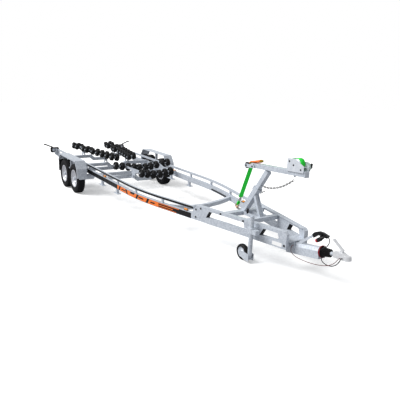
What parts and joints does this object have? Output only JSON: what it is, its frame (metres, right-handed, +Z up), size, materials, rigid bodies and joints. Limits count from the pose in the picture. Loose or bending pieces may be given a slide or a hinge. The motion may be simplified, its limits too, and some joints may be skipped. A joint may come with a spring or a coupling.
{
  "type": "boat trailer",
  "caption": "Tandem-axle boat trailer with ladder drawbar, rocking roller cradles, winch post, overrun coupling and jockey wheel.",
  "frame": {"origin": "on the floor under the middle of the trailer", "axes": "+X forward to the coupling, +Y left, +Z up"},
  "size_m": [9.0203, 2.41, 1.5046],
  "materials": {
    "galvanised_steel": "hot-dip galvanised, spangled, dull",
    "frame_black_stripe": "galvanised with black and orange film on the outer faces",
    "tyre_rubber": "matt black tyre",
    "rim_silver": "silver painted steel",
    "black_rubber": "matt black rubber",
    "black_plastic": "black moulded plastic",
    "white_paint": "pale zinc plated sheet",
    "cast_silver": "bright zinc plated pressing",
    "green_webbing": "woven webbing",
    "orange_plastic": "orange plastic",
    "amber_lens": "amber lens",
    "strap_steel": "zinc plated steel"
  },
  "bodies": {
    "chassis": {"bellows": "black_rubber", "bowed_cross_member": "galvanised_steel", "breakaway_cable": "black_plastic", "cable_coil": "black_plastic", "conduit": "black_plastic", "coupling_handle": "cast_silver", "coupling_head": "cast_silver", "drawbar_box": "galvanised_steel", "front_axle": "galvanised_steel", "front_cross_member": "galvanised_steel", "handbrake_lever": "galvanised_steel", "jockey_clamp": "galvanised_steel", "jockey_tube": "galvanised_steel", "left_ladder_beam": "galvanised_steel", "left_side_frame": "frame_black_stripe", "lever_grip": "black_plastic", "loop_cable": "black_plastic", "marker_arms": "black_rubber", "middle_cross_member": "galvanised_steel", "mudflaps": "black_rubber", "mudguards": "galvanised_steel", "nose_plate": "galvanised_steel", "overrun_shaft": "galvanised_steel", "plug_cable": "black_plastic", "rear_axle": "galvanised_steel", "rear_cross_member": "galvanised_steel", "rear_lamps": "black_plastic", "right_ladder_beam": "galvanised_steel", "right_side_frame": "frame_black_stripe", "safety_chain": "strap_steel", "side_markers": "amber_lens", "strap_hook": "strap_steel", "trailer_plug": "black_plastic", "webbing_sleeve": "orange_plastic", "winch_arm": "galvanised_steel", "winch_brace": "galvanised_steel", "winch_footing": "galvanised_steel", "winch_frame": "white_paint", "winch_post": "galvanised_steel", "winch_webbing": "green_webbing"},
    "front_left_wheel": {"front_left_tyre": "tyre_rubber", "front_left_rim": "rim_silver"},
    "front_right_wheel": {"front_right_tyre": "tyre_rubber", "front_right_rim": "rim_silver"},
    "rear_left_wheel": {"rear_left_tyre": "tyre_rubber", "rear_left_rim": "rim_silver"},
    "rear_right_wheel": {"rear_right_tyre": "tyre_rubber", "rear_right_rim": "rim_silver"},
    "rear_left_cradle": {"rear_left_cradle": "black_rubber"},
    "rear_right_cradle": {"rear_right_cradle": "black_rubber"},
    "middle_left_cradle": {"middle_left_cradle": "black_rubber"},
    "middle_right_cradle": {"middle_right_cradle": "black_rubber"},
    "front_left_cradle": {"front_left_cradle": "black_rubber"},
    "front_right_cradle": {"front_right_cradle": "black_rubber"},
    "bow_roller": {"bow_roller": "black_rubber"},
    "winch_drum": {"winch_drum": "green_webbing"},
    "winch_crank": {"winch_crank": "black_plastic"},
    "jockey_leg": {"jockey_leg": "galvanised_steel"},
    "jockey_fork": {"jockey_fork": "galvanised_steel"},
    "jockey_wheel": {"jockey_wheel": "black_rubber"}
  },
  "joints": [
    {"name": "front_left_wheel_spin", "type": "hinge", "parent": "chassis", "child": "front_left_wheel", "pos_m": [-2.14893, 1.087, 0.325], "axis": [0, 1, 0], "continuous": true},
    {"name": "front_right_wheel_spin", "type": "hinge", "parent": "chassis", "child": "front_right_wheel", "pos_m": [-2.14893, -1.087, 0.325], "axis": [0, 1, 0], "continuous": true},
    {"name": "rear_left_wheel_spin", "type": "hinge", "parent": "chassis", "child": "rear_left_wheel", "pos_m": [-2.86312, 1.087, 0.325], "axis": [0, 1, 0], "continuous": true},
    {"name": "rear_right_wheel_spin", "type": "hinge", "parent": "chassis", "child": "rear_right_wheel", "pos_m": [-2.86312, -1.087, 0.325], "axis": [0, 1, 0], "continuous": true},
    {"name": "rear_left_cradle_rock", "type": "hinge", "parent": "chassis", "child": "rear_left_cradle", "pos_m": [-3.69846, 0.40462, 0.67206], "axis": [0, 1, 0], "range_deg": [-8, 8]},
    {"name": "rear_right_cradle_rock", "type": "hinge", "parent": "chassis", "child": "rear_right_cradle", "pos_m": [-3.69846, -0.40462, 0.67206], "axis": [0, 1, 0], "range_deg": [-8, 8]},
    {"name": "middle_left_cradle_rock", "type": "hinge", "parent": "chassis", "child": "middle_left_cradle", "pos_m": [-2.49877, 0.26916, 0.64483], "axis": [0, 1, 0], "range_deg": [-8, 8]},
    {"name": "middle_right_cradle_rock", "type": "hinge", "parent": "chassis", "child": "middle_right_cradle", "pos_m": [-2.49877, -0.26916, 0.64483], "axis": [0, 1, 0], "range_deg": [-8, 8]},
    {"name": "front_left_cradle_rock", "type": "hinge", "parent": "chassis", "child": "front_left_cradle", "pos_m": [-0.75013, 0.33769, 0.56514], "axis": [0, 1, 0], "range_deg": [-6, 6]},
    {"name": "front_right_cradle_rock", "type": "hinge", "parent": "chassis", "child": "front_right_cradle", "pos_m": [-0.75013, -0.33769, 0.56514], "axis": [0, 1, 0], "range_deg": [-6, 6]},
    {"name": "bow_roller_spin", "type": "hinge", "parent": "chassis", "child": "bow_roller", "pos_m": [2.56152, 0, 1.26119], "axis": [0, 1, 0], "continuous": true},
    {"name": "winch_drum_spin", "type": "hinge", "parent": "chassis", "child": "winch_drum", "pos_m": [3.56553, 0, 1.42645], "axis": [0, 1, 0], "continuous": true},
    {"name": "winch_crank_spin", "type": "hinge", "parent": "chassis", "child": "winch_crank", "pos_m": [3.64469, 0, 1.38865], "axis": [0, 1, 0], "continuous": true},
    {"name": "jockey_leg_slide", "type": "slide", "parent": "chassis", "child": "jockey_leg", "axis": [0.0227, 0, 0.9997], "range_m": [-0.18, 0.02]},
    {"name": "jockey_swivel", "type": "hinge", "parent": "jockey_leg", "child": "jockey_fork", "pos_m": [3.13968, -0.382, 0.07176], "axis": [0.0227, 0, 0.9997], "continuous": true},
    {"name": "jockey_wheel_spin", "type": "hinge", "parent": "jockey_fork", "child": "jockey_wheel", "pos_m": [2.98562, -0.382, 0.115], "axis": [0, 1, 0], "continuous": true}
  ],
  "couplings": [
    {"joint": "winch_crank_spin", "follows": "winch_drum_spin", "ratio": 5}
  ]
}
